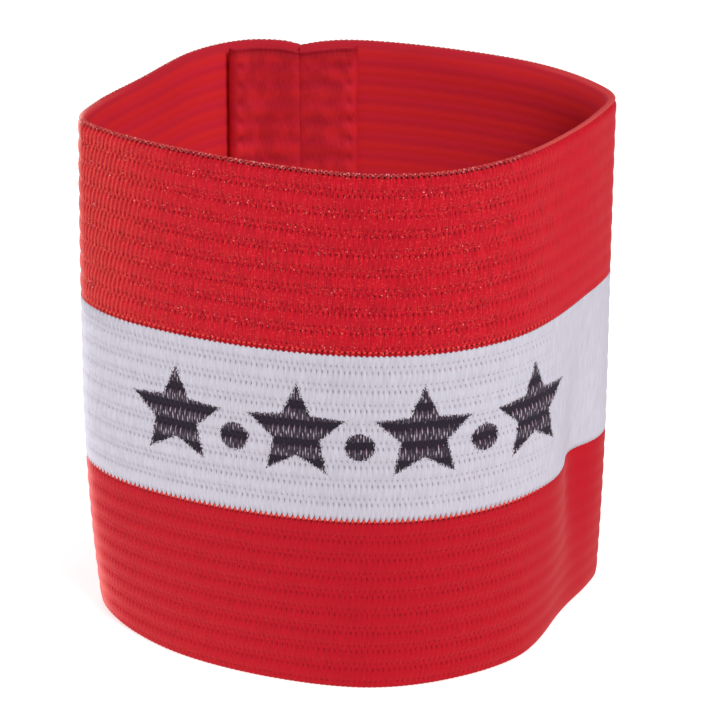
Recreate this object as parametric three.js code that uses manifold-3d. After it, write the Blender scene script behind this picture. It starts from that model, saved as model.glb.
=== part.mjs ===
// A captain's armband of knitted elastic webbing, standing on its lower edge.
// Units are millimetres and +Z is up. The origin is on the ground, under the middle of the band.
//
// One length of ribbed webbing, red, white and red, is closed into a loop at the back. Its two
// ends turn in at the seam and lie open against the inside of the wall, face side out. Each
// colour is a stripe of its own, and the same section runs through all three: thick ribs of
// long stitches along the band, with a narrow channel between one rib and the next.

import Module from 'manifold-3d';
import * as THREE from 'three';

const wasm = await Module();
wasm.setup();

// The loop as it stands, measured over its outer face.
const loopWidth = 77;
const loopDepth = 54;

// The knit, counted from the upper edge down. The lower edge ends in a plain selvedge.
const ribPitch = 2.94;
const upperRibs = 9;
const whiteRibs = 9;
const lowerRibs = 9;
const lowerSelvedge = 0.62;
const channelWidth = 0.82;

// The wall of the webbing, from the back of the cloth to the crest of a rib.
const wall = 1.8;
const channelDepth = 0.5;
const shoulder = 0.9;

// The two ends at the back seam, and the core of stitches that binds their folds together. It
// stops short of both edges.
const leftEnd = 10;
const rightEnd = 8.6;
const endClearance = 0.3;
const seamGap = 0.3;
const seamCoreWidth = 2.2;
const seamCoreDepth = 1.4;
const seamCoreInset = 0.4;

// The clearance between one colour and the next.
const stripeGap = 0.3;

// How finely the wall is divided: a step for so many millimetres or degrees, and for each fold.
const stepLength = 5;
const stepAngle = 18;
const stepsPerFold = 4;

const bandHeight = (upperRibs + whiteRibs + lowerRibs) * ribPitch + lowerSelvedge;

// Each end turns in round a fold. Its radius is measured to the crest of the ribs, and the fold
// starts at this distance from the seam, so that the two folds meet there.
const foldRadius = wall + endClearance / 2;
const foldStart = foldRadius + seamGap / 2;

// The outline seen from above, clockwise from the back seam, at half height and at the upper and
// the lower edge. Each pair is a place across, as a share of half the width of the loop, and a
// place towards the back, as a share of half its depth.
const outline = [
  { place: 'back seam', middle: [-0.19, 0.975], upper: [-0.19, 0.985], lower: [-0.15, 1.0] },
  { place: 'right of the seam', middle: [0.03, 0.98], upper: [0.03, 0.99], lower: [0.07, 0.99] },
  { place: 'back right', middle: [0.38, 0.855], upper: [0.38, 0.855], lower: [0.42, 0.895] },
  { place: 'back right side', middle: [0.72, 0.62], upper: [0.725, 0.615], lower: [0.73, 0.725] },
  { place: 'right back', middle: [0.92, 0.385], upper: [0.92, 0.34], lower: [0.91, 0.555] },
  { place: 'right corner', middle: [0.985, 0.17], upper: [0.99, 0.13], lower: [0.97, 0.385] },
  { place: 'right front', middle: [0.94, -0.045], upper: [0.945, -0.065], lower: [0.93, 0.19] },
  { place: 'right side', middle: [0.825, -0.35], upper: [0.83, -0.355], lower: [0.805, -0.165] },
  { place: 'front right bend', middle: [0.625, -0.735], upper: [0.62, -0.72], lower: [0.645, -0.635] },
  { place: 'front right', middle: [0.375, -0.935], upper: [0.375, -0.935], lower: [0.375, -0.895] },
  { place: 'front', middle: [0.08, -0.995], upper: [0.08, -0.985], lower: [0.08, -0.99] },
  { place: 'front left', middle: [-0.285, -0.91], upper: [-0.285, -0.845], lower: [-0.285, -0.88] },
  { place: 'front left side', middle: [-0.66, -0.695], upper: [-0.65, -0.595], lower: [-0.66, -0.595] },
  { place: 'left front', middle: [-0.91, -0.445], upper: [-0.905, -0.34], lower: [-0.885, -0.235] },
  { place: 'left corner', middle: [-1.0, -0.205], upper: [-0.99, -0.185], lower: [-0.965, 0.075] },
  { place: 'left back', middle: [-0.95, 0.075], upper: [-0.94, 0.045], lower: [-0.91, 0.335] },
  { place: 'back left side', middle: [-0.79, 0.425], upper: [-0.79, 0.39], lower: [-0.745, 0.63] },
  { place: 'back left bend', middle: [-0.585, 0.815], upper: [-0.59, 0.825], lower: [-0.53, 0.89] },
  { place: 'left of the seam', middle: [-0.4, 0.965], upper: [-0.4, 0.99], lower: [-0.34, 0.99] },
];

// Dents pressed into the wall: where each one is round the loop, from the back seam and as a
// share of one turn, its height up the band, how far it reaches both ways, and its depth as a
// share of half the depth of the loop. A bulge has a depth below nought.
const dents = [
  { place: 'flute before the right corner', turn: 0.345, up: 0.33, reach: 0.024, rise: 0.22, depth: 0.078 },
  { place: 'ridge in front of the flute', turn: 0.388, up: 0.3, reach: 0.02, rise: 0.25, depth: -0.02 },
];

// The outer face at one height: a smooth closed curve through the outline's places.
function outerCurve(height) {
  const lift = (2 * height) / bandHeight - 1;
  const blend = lift * lift;
  const points = outline.map((row) => {
    const [across, back] = row.middle;
    const [edgeAcross, edgeBack] = lift > 0 ? row.upper : row.lower;
    return new THREE.Vector3(
      (loopWidth / 2) * (across + blend * (edgeAcross - across)),
      (loopDepth / 2) * (back + blend * (edgeBack - back)),
      height,
    );
  });
  return new THREE.CatmullRomCurve3(points, true, 'centripetal');
}

// How far a dent pushes the wall inwards at one place round the loop and one height.
function dentDepth(turn, height) {
  let depth = 0;
  for (const dent of dents) {
    const along = (turn - dent.turn) / dent.reach;
    const up = (height / bandHeight - dent.up) / dent.rise;
    depth += dent.depth * (loopDepth / 2) * Math.exp(-along * along - up * up);
  }
  return depth;
}

// A place on the outer face, with the direction that the loop runs in and the one it faces.
function wallFrame(curve, turn, height) {
  const run = curve.getTangent(turn).setZ(0).normalize();
  const face = new THREE.Vector3(-run.y, run.x, 0);
  const place = curve.getPoint(turn).addScaledVector(face, -dentDepth(turn, height));
  return { place, run, face };
}

// The share of the curve's parameter at a distance from the seam, forwards or backwards.
function turnAtDistance(curve, distance) {
  const span = 1 / outline.length;
  const spanLength = curve.getPoint(0).distanceTo(curve.getPoint(distance > 0 ? span : 1 - span));
  const turn = (distance / spanLength) * span;
  return turn < 0 ? turn + 1 : turn;
}

// The stations along the webbing, from the cut end on the right of the seam, round its fold,
// once round the loop, and round the other fold to the cut end on the left. A station near the
// seam has its distance from it and the angle that the cloth has turned through.
function webbingStations() {
  const rightTurnedIn = turnedInStations(1, rightEnd);
  const leftTurnedIn = turnedInStations(-1, leftEnd).reverse();
  const curve = outerCurve(bandHeight / 2);
  const first = turnAtDistance(curve, foldStart);
  const last = turnAtDistance(curve, -foldStart);
  const turns = outline.flatMap((row, span) => spanTurns(curve, span));
  const wallStations = turns
    .filter((turn) => turn > first && turn < last)
    .map((turn) => ({ turn, bend: 0 }));
  return [...rightTurnedIn, ...wallStations, ...leftTurnedIn];
}

// The steps within one span of the outline, closer together where the wall bends more.
function spanTurns(curve, span) {
  const start = span / outline.length;
  const end = (span + 1) / outline.length;
  const length = curve.getPoint(start).distanceTo(curve.getPoint(end % 1));
  const angle = THREE.MathUtils.radToDeg(curve.getTangent(start).angleTo(curve.getTangent(end % 1)));
  const steps = Math.max(1, Math.round(Math.max(length / stepLength, angle / stepAngle)));
  return Array.from({ length: steps }, (unused, step) => start + ((end - start) * step) / steps);
}

// One end of the webbing: along its free part to the fold, and round the fold to the wall.
function turnedInStations(side, endLength) {
  const freeLength = endLength - foldStart;
  const steps = Math.max(1, Math.round(freeLength / stepLength));
  const stations = [];
  for (let step = steps; step > 0; step -= 1) {
    stations.push({ distance: side * (foldStart + (freeLength * step) / steps), bend: Math.PI });
  }
  for (let step = stepsPerFold; step >= 0; step -= 1) {
    stations.push({ distance: side * foldStart, bend: (Math.PI * step) / stepsPerFold });
  }
  return stations;
}

// The place of a point of the cloth, from its station, its height and its depth below the
// crest of the ribs. Where the end turns in, the point swings round the middle of the fold.
function clothPoint(curve, station, height, depth) {
  const turn = station.distance ? turnAtDistance(curve, station.distance) : station.turn;
  const towardsSeam = station.distance ? -Math.sign(station.distance) : 0;
  const { place, run, face } = wallFrame(curve, turn, height);
  const radius = foldRadius - depth;
  return place
    .addScaledVector(face, radius * Math.cos(station.bend) - foldRadius)
    .addScaledVector(run, radius * Math.sin(station.bend) * towardsSeam);
}

// The heights at which the ribs change, down one stripe, with the depth of the outer face: the
// middle of each channel lies deepest, and each rib has a flat crest between two shoulders.
function outerLevels(top, bottom) {
  const levels = [];
  const channelHalf = channelWidth / 2;
  const ribs = upperRibs + whiteRibs + lowerRibs;
  for (let rib = 0; rib <= ribs; rib += 1) {
    const channel = bandHeight - rib * ribPitch;
    levels.push({ height: channel, depth: channelDepth });
    levels.push({ height: channel - channelHalf - shoulder / 2, depth: 0 });
    levels.push({ height: channel - ribPitch + channelHalf + shoulder / 2, depth: 0 });
  }
  return [
    { height: top, depth: depthAt(levels, top) },
    ...levels.filter((level) => level.height < top && level.height > bottom),
    { height: bottom, depth: depthAt(levels, bottom) },
  ];
}

// The depth of the outer face at any height, between the levels on either side of it.
function depthAt(levels, height) {
  const below = levels.findIndex((level) => level.height <= height);
  if (below <= 0) {
    return levels[Math.max(below, 0)].depth;
  }
  const upper = levels[below - 1];
  const lower = levels[below];
  const share = (upper.height - height) / (upper.height - lower.height);
  return upper.depth + share * (lower.depth - upper.depth);
}

// A closed body through rings of points that all have the same count. The section is the shape
// of a ring, clockwise as seen from the far end, and it closes the body at both ends.
function sweptBody(rings, section) {
  const count = section.length;
  const faces = [];
  for (let ring = 0; ring < rings.length - 1; ring += 1) {
    for (let corner = 0; corner < count; corner += 1) {
      const here = ring * count + corner;
      const next = ring * count + ((corner + 1) % count);
      faces.push(here, here + count, next);
      faces.push(next, here + count, next + count);
    }
  }
  const last = (rings.length - 1) * count;
  for (const [a, b, c] of THREE.ShapeUtils.triangulateShape(section, [])) {
    faces.push(a, c, b);
    faces.push(last + a, last + b, last + c);
  }
  const vertProperties = new Float32Array(rings.flat().flatMap((point) => point.toArray()));
  return new wasm.Manifold(new wasm.Mesh({ numProp: 3, vertProperties, triVerts: new Uint32Array(faces) }));
}

// The webbing of one stripe: its section is swept along the stations, from cut end to cut end.
function webbingBody(top, bottom) {
  const levels = [
    ...outerLevels(top, bottom),
    { height: bottom, depth: wall },
    { height: (top + bottom) / 2, depth: wall },
    { height: top, depth: wall },
  ];
  const curves = levels.map((level) => outerCurve(level.height));
  const rings = webbingStations().map((station) =>
    levels.map((level, index) => clothPoint(curves[index], station, level.height, level.depth)),
  );
  return sweptBody(rings, levels.map((level) => new THREE.Vector2(-level.depth, level.height)));
}

// The core of the seam in one stripe: a narrow body that rises between the two folds.
function seamBody(top, bottom) {
  const corners = [
    new THREE.Vector2(-seamCoreWidth / 2, seamCoreDepth / 2),
    new THREE.Vector2(seamCoreWidth / 2, seamCoreDepth / 2),
    new THREE.Vector2(seamCoreWidth / 2, -seamCoreDepth / 2),
    new THREE.Vector2(-seamCoreWidth / 2, -seamCoreDepth / 2),
  ];
  const heights = [bottom + seamCoreInset, (top + bottom) / 2, top - seamCoreInset];
  const rings = heights.map((height) => {
    const { place, run, face } = wallFrame(outerCurve(height), 0, height);
    return corners.map((corner) =>
      place
        .clone()
        .addScaledVector(run, corner.x)
        .addScaledVector(face, corner.y - foldRadius),
    );
  });
  return sweptBody(rings, corners);
}

// A solid back as a geometry.
function solidGeometry(solid) {
  const { vertProperties, triVerts } = solid.getMesh();
  const geometry = new THREE.BufferGeometry();
  geometry.setAttribute('position', new THREE.BufferAttribute(vertProperties, 3));
  geometry.setIndex(new THREE.BufferAttribute(triVerts, 1));
  geometry.computeVertexNormals();
  return geometry;
}

// The two colour changes. The channel beside the white stripe belongs to the red on both sides.
const upperChange = bandHeight - upperRibs * ribPitch - channelWidth / 2;
const lowerChange = bandHeight - (upperRibs + whiteRibs) * ribPitch + channelWidth / 2;

const redKnit = { color: 0xc81f2e, roughness: 0.78, metalness: 0 };
const whiteKnit = { color: 0xd9d3de, roughness: 0.8, metalness: 0 };

// One stripe of the band, closed into a loop by its seam.
function stripe(name, top, bottom, look) {
  const body = webbingBody(top, bottom).add(seamBody(top, bottom));
  const mesh = new THREE.Mesh(solidGeometry(body), new THREE.MeshStandardMaterial(look));
  mesh.name = name;
  return mesh;
}

const armband = new THREE.Group();
armband.add(stripe('upper_red_stripe', bandHeight, upperChange + stripeGap / 2, redKnit));
armband.add(stripe('white_stripe', upperChange - stripeGap / 2, lowerChange + stripeGap / 2, whiteKnit));
armband.add(stripe('lower_red_stripe', lowerChange - stripeGap / 2, 0, redKnit));

export default armband;
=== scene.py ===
# %% [markdown]
# # A knitted armband in three stripes
# The armband is one length of elastic webbing, 80 mm wide, sewn into a loop. It is knitted in 27
# ribs that run round the arm: nine red, nine white and nine red again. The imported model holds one
# plain ring for each colour. This script loads those rings as a fixed frame and builds each one
# again as knitted cloth, stitch by stitch, in the same place.

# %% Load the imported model
import math

import bmesh
import bpy
import numpy as np
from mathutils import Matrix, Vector


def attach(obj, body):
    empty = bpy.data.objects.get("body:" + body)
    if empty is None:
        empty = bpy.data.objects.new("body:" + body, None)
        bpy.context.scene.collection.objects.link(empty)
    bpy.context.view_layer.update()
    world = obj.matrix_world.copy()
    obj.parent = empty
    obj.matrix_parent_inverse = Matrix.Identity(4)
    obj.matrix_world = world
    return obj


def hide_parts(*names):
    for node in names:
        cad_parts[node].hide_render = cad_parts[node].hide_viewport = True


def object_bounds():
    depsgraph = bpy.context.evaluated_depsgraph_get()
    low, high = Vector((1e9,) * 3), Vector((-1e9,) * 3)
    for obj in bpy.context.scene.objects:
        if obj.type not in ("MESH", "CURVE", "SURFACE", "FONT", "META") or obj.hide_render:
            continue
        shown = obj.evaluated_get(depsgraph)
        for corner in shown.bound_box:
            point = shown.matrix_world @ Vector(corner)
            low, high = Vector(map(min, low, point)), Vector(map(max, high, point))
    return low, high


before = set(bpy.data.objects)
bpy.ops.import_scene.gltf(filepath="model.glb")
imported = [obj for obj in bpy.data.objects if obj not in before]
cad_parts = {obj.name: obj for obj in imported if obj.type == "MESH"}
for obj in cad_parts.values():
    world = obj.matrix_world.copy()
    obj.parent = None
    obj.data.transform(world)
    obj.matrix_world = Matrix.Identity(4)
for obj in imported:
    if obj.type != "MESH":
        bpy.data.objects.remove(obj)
cad_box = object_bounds()
cad_sides = [round(1000 * side, 2) for side in np.subtract(cad_box[1], cad_box[0])]
print("the packed model measures", cad_sides, "mm")

# %% [markdown]
# ## The sizes of the webbing
# Everything follows from a few sizes that a maker would give: the size of the loop laid on a
# table, the pitch of the ribs, the thickness of the cloth and the pitch of the stitches. They are
# the part's own sizes, in metres, because Blender works in metres.

# %% Sizes of the webbing
MM = 0.001
LOOP_WIDTH = 77 * MM
LOOP_DEPTH = 54 * MM
RIB_PITCH = 2.94 * MM
RIBS_PER_STRIPE = 9
SELVEDGE = 0.62 * MM
WALL = 1.8 * MM
STITCH_PITCH = 0.79 * MM

BAND_HEIGHT = 3 * RIBS_PER_STRIPE * RIB_PITCH + SELVEDGE

# The colours change a little below a channel at the top, and a little above one at the bottom.
UPPER_CHANGE = 52.73 * MM
LOWER_CHANGE = 27.13 * MM

# The ends turn in at the seam. A fold's radius is measured to the crest of the ribs.
LEFT_END = 12 * MM
RIGHT_END = 8.9 * MM
END_CLEARANCE = 0.3 * MM
FOLD_RADIUS = WALL + END_CLEARANCE / 2
FOLD_PRESS = 1.3 * MM
FOLD_START = FOLD_RADIUS - FOLD_PRESS
SEAM_TOUCH = 0.001 * MM

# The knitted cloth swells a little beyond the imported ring.
SWELL = 0.25 * MM
print("the band is", round(1000 * BAND_HEIGHT, 2), "mm high")

# %% [markdown]
# ## The camera
# The photograph was taken from a little above and far away, so the loop shows its inside and its
# sides stay nearly parallel. A long lens does that. The camera looks straight along +Y and down.

# %% The camera
LOOK_DOWN = math.radians(24.5)
lens = bpy.data.cameras.new("camera")
lens.sensor_width = 36
lens.lens = 215.4
lens.clip_end = 20
camera = bpy.data.objects.new("camera", lens)
camera.location = (1.35 * MM, -571.2 * MM, 300.5 * MM)
camera.rotation_euler = (math.pi / 2 - LOOK_DOWN, 0, 0)
bpy.context.scene.collection.objects.link(camera)
bpy.context.scene.camera = camera
print("the camera looks down by", round(math.degrees(LOOK_DOWN), 1), "degrees")

# %% [markdown]
# ## The path of the loop
# Seen from above the loop is a soft, worn ring with four blunt corners. A real one gets that shape
# from lying in a bag. It could be made by a simulation, but a smooth curve through a few places
# gives the photographed shape exactly. The places are shares of half the width and half the depth,
# at half height and at both edges, and between those the curve changes with the square of the
# distance from half height.

# %% The places that the loop passes through
# Each place at half height, at the upper edge and at the lower edge.
OUTLINE = {
    "back seam": ((-0.19, 0.975), (-0.19, 0.985), (-0.15, 1.0)),
    "right of the seam": ((0.03, 0.98), (0.03, 0.99), (0.07, 0.99)),
    "back right": ((0.38, 0.855), (0.38, 0.855), (0.42, 0.895)),
    "back right side": ((0.72, 0.62), (0.725, 0.615), (0.73, 0.725)),
    "right back": ((0.92, 0.385), (0.92, 0.34), (0.91, 0.555)),
    "right corner": ((0.985, 0.17), (0.99, 0.13), (0.97, 0.385)),
    "right front": ((0.94, -0.045), (0.945, -0.065), (0.93, 0.19)),
    "right side": ((0.825, -0.35), (0.83, -0.355), (0.805, -0.165)),
    "front right bend": ((0.625, -0.735), (0.62, -0.72), (0.645, -0.635)),
    "front right": ((0.375, -0.935), (0.375, -0.935), (0.375, -0.895)),
    "front": ((0.08, -0.995), (0.08, -0.985), (0.08, -0.99)),
    "front left": ((-0.285, -0.91), (-0.285, -0.845), (-0.285, -0.88)),
    "front left side": ((-0.66, -0.695), (-0.65, -0.595), (-0.66, -0.595)),
    "left front": ((-0.91, -0.445), (-0.905, -0.34), (-0.885, -0.235)),
    "left corner": ((-1.0, -0.205), (-0.99, -0.185), (-0.965, 0.075)),
    "left back": ((-0.95, 0.075), (-0.94, 0.045), (-0.91, 0.335)),
    "back left side": ((-0.79, 0.425), (-0.79, 0.39), (-0.745, 0.63)),
    "back left bend": ((-0.585, 0.815), (-0.59, 0.825), (-0.53, 0.89)),
    "left of the seam": ((-0.4, 0.965), (-0.4, 0.99), (-0.34, 0.99)),
}

# Where a dent lies and how far it reaches: shares of the way round, of the height and of the depth.
DENTS = [
    {"place": "flute at the right", "turn": 0.345, "up": 0.33, "reach": 0.024, "rise": 0.22, "depth": 0.078},
    {"place": "ridge before it", "turn": 0.388, "up": 0.3, "reach": 0.02, "rise": 0.25, "depth": -0.02},
]
STEPS_PER_SPAN = 60
print(len(OUTLINE), "places and", len(DENTS), "dents")


# %% The smooth curve through the places
def outline_places(heights):
    """The places of the outline at each height: heights by places by two."""
    lift = 2 * heights / BAND_HEIGHT - 1
    middle, upper, lower = np.moveaxis(np.array(list(OUTLINE.values())), 1, 0)
    edge = np.where((lift > 0)[:, None, None], upper, lower)
    shares = middle + (lift**2)[:, None, None] * (edge - middle)
    return shares * (LOOP_WIDTH / 2, LOOP_DEPTH / 2)


def knot_gap(start, end):
    """The step of the curve's parameter between two places, which keeps it from overshooting."""
    return np.sqrt(np.linalg.norm(end - start, axis=2, keepdims=True))


def smooth_curve(places):
    """A closed curve through the places at each height: its points and its directions."""
    before, start, end, after = (np.roll(places, shift, axis=1) for shift in (1, 0, -1, -2))
    first, second, third = knot_gap(before, start), knot_gap(start, end), knot_gap(end, after)
    leave = second * ((start - before) / first - (end - before) / (first + second) + (end - start) / second)
    arrive = second * ((end - start) / second - (after - start) / (second + third) + (after - end) / third)
    square = 3 * (end - start) - 2 * leave - arrive
    cube = 2 * (start - end) + leave + arrive
    share = (np.arange(STEPS_PER_SPAN) / STEPS_PER_SPAN)[:, None]
    start, leave, square, cube = (part[:, :, None, :] for part in (start, leave, square, cube))
    points = start + leave * share + square * share**2 + cube * share**3
    directions = leave + 2 * square * share + 3 * cube * share**2
    count = places.shape[1] * STEPS_PER_SPAN
    return points.reshape(-1, count, 2), directions.reshape(-1, count, 2)


def dent_depths(heights):
    """How far the dents push the wall in, at each height and step of the curve."""
    steps = len(OUTLINE) * STEPS_PER_SPAN
    turns = np.arange(steps) / steps
    depth = np.zeros((len(heights), steps))
    for dent in DENTS:
        along = (turns - dent["turn"]) / dent["reach"]
        up = (heights / BAND_HEIGHT - dent["up"]) / dent["rise"]
        depth += dent["depth"] * LOOP_DEPTH / 2 * np.exp(-(along**2)) * np.exp(-(up**2))[:, None]
    return depth


def loop_rows(heights):
    """The crest line of the cloth at each height: points, directions and distances from the seam."""
    points, directions = smooth_curve(outline_places(heights))
    directions /= np.linalg.norm(directions, axis=2, keepdims=True)
    outwards = np.stack([-directions[..., 1], directions[..., 0]], axis=2)
    steps = np.linalg.norm(np.roll(points, -1, axis=1) - points, axis=2)
    distances = np.concatenate([np.zeros((len(heights), 1)), np.cumsum(steps, axis=1)], axis=1)
    points = points - outwards * dent_depths(heights)[:, :, None]
    closed = [np.concatenate([part, part[:, :1]], axis=1) for part in (points, directions)]
    return closed[0], closed[1], distances


loop_length = loop_rows(np.array([BAND_HEIGHT / 2]))[2][0, -1]
print("round the crests the loop measures", round(1000 * loop_length, 1), "mm")

# %% [markdown]
# ## The stitches along the webbing
# The webbing is one strip: from its cut end on the right of the seam, round the first fold, once
# round the loop, round the second fold, to its cut end on the left. Every stitch gets four columns
# of the mesh, which is just enough to draw a tooth, a hole or a loop. Each column says how far
# round it is and how far the cloth has turned over in a fold.

# %% Columns of the mesh
COLUMNS_PER_STITCH = 4
FOLD_MIDDLE = FOLD_RADIUS - WALL / 2


def whole_stitches(length):
    """How many stitches fit in a length."""
    return max(1, round(length / STITCH_PITCH))


right_stitches = whole_stitches(RIGHT_END - FOLD_START)
left_stitches = whole_stitches(LEFT_END - FOLD_START)
fold_stitches = whole_stitches(math.pi * FOLD_MIDDLE)
wall_stitches = whole_stitches(loop_length - 2 * FOLD_START)
stitch_count = right_stitches + left_stitches + 2 * fold_stitches + wall_stitches

column_stitch = np.arange(stitch_count * COLUMNS_PER_STITCH + 1) / COLUMNS_PER_STITCH
right_fold_starts = right_stitches
wall_starts = right_fold_starts + fold_stitches
left_fold_starts = wall_starts + wall_stitches
left_end_starts = left_fold_starts + fold_stitches

free_right = np.clip(1 - column_stitch / right_stitches, 0, 1)
free_left = np.clip((column_stitch - left_end_starts) / left_stitches, 0, 1)
bend_right = math.pi * np.clip(1 - (column_stitch - right_fold_starts) / fold_stitches, 0, 1)
bend_left = math.pi * np.clip((column_stitch - left_fold_starts) / fold_stitches, 0, 1)
wall_share = np.clip((column_stitch - wall_starts) / wall_stitches, 0, 1)
wall_length = loop_length - 2 * FOLD_START

# How far each column is from the seam, going round to the right and going round to the left.
from_right = FOLD_START * (1 - np.sin(bend_right)) + free_right * RIGHT_END + wall_share * wall_length
from_left = FOLD_START * (1 - np.sin(bend_left)) + free_left * LEFT_END + (1 - wall_share) * wall_length


# %% Where a point of the cloth lies
def press_at_seam(place, seam, run):
    """Keeps both folds on their own side of the seam, so that they lie flat against each other."""
    beside = (place - seam) @ run
    right_side = np.maximum(beside, SEAM_TOUCH)
    left_side = np.minimum(beside, -SEAM_TOUCH)
    pressed = np.where(bend_right > 0, right_side, np.where(bend_left > 0, left_side, beside))
    return place + (pressed - beside)[:, None] * run


def cloth_points(rows):
    """The mesh points of the section's rows, and how squarely the cloth faces left at each.

    rows has base heights (one a row), heights and depths (one for each row and column) and lifts,
    how far the turned-in ends stand off the wall.
    """
    points, directions, distances = loop_rows(rows["base"])
    placed = np.empty((len(rows["base"]), len(column_stitch), 3))
    facing_left = np.empty(placed.shape[:2])
    for row, distance in enumerate(distances):
        length = distance[-1]
        along = FOLD_START + wall_share * (length - 2 * FOLD_START)
        along = along + free_right * (RIGHT_END - FOLD_START) - free_left * (LEFT_END - FOLD_START)
        at = np.stack([np.interp(along, distance, points[row, :, axis]) for axis in (0, 1)], axis=1)
        run = np.stack([np.interp(along, distance, directions[row, :, axis]) for axis in (0, 1)], axis=1)
        run /= np.linalg.norm(run, axis=1, keepdims=True)
        outwards = np.stack([-run[:, 1], run[:, 0]], axis=1)
        bend = bend_right + bend_left
        radius = FOLD_RADIUS - rows["depths"][row]
        out = radius * np.cos(bend) - FOLD_RADIUS - rows["lifts"][row] + SWELL
        over = radius * (np.sin(bend_left) - np.sin(bend_right))
        place = at + outwards * out[:, None] + run * over[:, None]
        placed[row, :, :2] = press_at_seam(place, points[row, 0], directions[row, 0])
        placed[row, :, 2] = rows["heights"][row]
        facing_left[row] = -outwards[:, 0]
    return placed, facing_left


# %% [markdown]
# ## The relief of the knit
# A rib is a soft tube over a rubber thread, covered by one bar of yarn for each stitch. The bars
# lean over by half a stitch from the head of the rib to its foot. Between two ribs the stitches are
# drawn in, and two rows of little holes run along that channel: short ones at the foot of the rib
# above, and longer ones, half a stitch further on, at the head of the rib below. The relief could
# be a bump in the material, but then the edge of the cloth would stay smooth, so the bars and the
# holes are pressed into the mesh. A band that has been worn isn't the same all round: at the right
# side and low down on the left the knit has gone soft, and at the upper left its bars stand out.

# %% Relief of the two faces
INNER_SHARES = (0, 0.5)
RELIEF = [
    {"share": 0, "bar": 0.17 * MM, "gap": 0.21 * MM, "phase": 0.25},
    {"share": 0.15, "bar": 0.12 * MM, "gap": 0.44 * MM, "phase": 0.55},
    {"share": 0.28, "bar": 0.03 * MM, "gap": 0.15 * MM, "phase": 0.60},
    {"share": 0.5, "bar": 0.00 * MM, "gap": 0.06 * MM, "phase": 0.78},
    {"share": 0.72, "bar": 0.03 * MM, "gap": 0.12 * MM, "phase": 0.95},
    {"share": 0.85, "bar": 0.12 * MM, "gap": 0.38 * MM, "phase": 1.0},
]
GAP_SHARPNESS = 1.5
INNER_RELIEF = 0.12 * MM
FLAP_RELIEF = 0.3
FOLD_FLATNESS = 0.9
SEAM_STITCHES = (1.6, stitch_count - 1.8)
SEAM_DENT = 0.3 * MM
SEAM_DENT_REACH = 0.7

# Where the knit is worn, and how much of its clearness and of its relief is lost there.
RIGHT_PLACE = 58 * MM
RIGHT_REACH = 24 * MM
LEFT_PLACE = 163 * MM
LEFT_REACH = 13 * MM
LEFT_SHARE = 0.7
WORN_LOSS = 0.85
WORN_SMOOTH = 0.55
WORN_DEPTH = 0.08 * MM

# Where the bars stand out, and by how much. On the left the knit is bold above this rib and worn below.
BOLD_PLACE = 155 * MM
BOLD_REACH = 16 * MM
BOLD_GAIN = 0.7
BOLD_BARS = 0.35 * MM
LEFT_RIB = RIBS_PER_STRIPE + 0.3

# The lower stripe is a little softer all round.
LOWER_LOSS = 0.3
LOWER_RIB = 2 * RIBS_PER_STRIPE - 0.2


def stitch_wave(phase):
    """One in the middle of the gap between two bars, and nought on the bars."""
    return 0.5 + 0.5 * np.cos(2 * math.pi * (column_stitch - phase))


def flattening():
    """The relief that is left: pressed flat where the folds meet, and softened on the ends."""
    turned = (bend_right + bend_left) / math.pi
    return (1 - FOLD_FLATNESS * np.sin(math.pi * turned)) * (1 - (1 - FLAP_RELIEF) * turned)


def wear(rib):
    """How worn the knit is, column by column: at the right side, and low down on the left."""
    worn = np.exp(-(((from_right - RIGHT_PLACE) / RIGHT_REACH) ** 4))
    if rib > LEFT_RIB:
        worn = worn + LEFT_SHARE * np.exp(-(((from_right - LEFT_PLACE) / LEFT_REACH) ** 4))
    return worn


def crispness(rib):
    """How clear the stitches are, column by column: one at the front, and more at the upper left."""
    crisp = 1 - WORN_LOSS * wear(rib)
    if rib < LEFT_RIB:
        crisp = crisp + BOLD_GAIN * np.exp(-(((from_right - BOLD_PLACE) / BOLD_REACH) ** 2))
    return crisp * (1 - LOWER_LOSS) if rib > LOWER_RIB else crisp


def outer_depth(rib, share):
    """The depth below the crest, column by column, at a share of the rib below its channel."""
    row = min(RELIEF, key=lambda level: abs(level["share"] - share))
    crisp = crispness(rib)
    gap = (row["gap"] - row["bar"]) * np.minimum(crisp, 1)
    gap = gap + BOLD_BARS * np.maximum(crisp - 1, 0) * math.sin(math.pi * share)
    depth = row["bar"] + gap * stitch_wave(row["phase"]) ** GAP_SHARPNESS
    depth = depth + WORN_SMOOTH * wear(rib) * (WORN_DEPTH - depth)
    near_channel = max(0, math.cos(2 * math.pi * share))
    from_seams = [(column_stitch - stitch) / SEAM_DENT_REACH for stitch in SEAM_STITCHES]
    sewn = sum(np.exp(-(distance**2)) for distance in from_seams)
    return depth * flattening() + SEAM_DENT * near_channel * sewn


def inner_depth(share):
    """The depth of the inner face, which swells a little between the channels."""
    hollow = math.cos(2 * math.pi * share) * 0.5 + 0.5
    return WALL - INNER_RELIEF * hollow * flattening()


print("the deepest hole is", round(1000 * max(row["gap"] for row in RELIEF), 2), "mm")

# %% [markdown]
# ## The edges of a stripe
# The top edge is finished with a row of small loops, like a chain of beads, and the bottom edge
# with a narrow flat selvedge. Where one colour meets the next, the stitches of both bite into each
# other like teeth, so both stripes follow the same zigzag with a hair's breadth between them.

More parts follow.
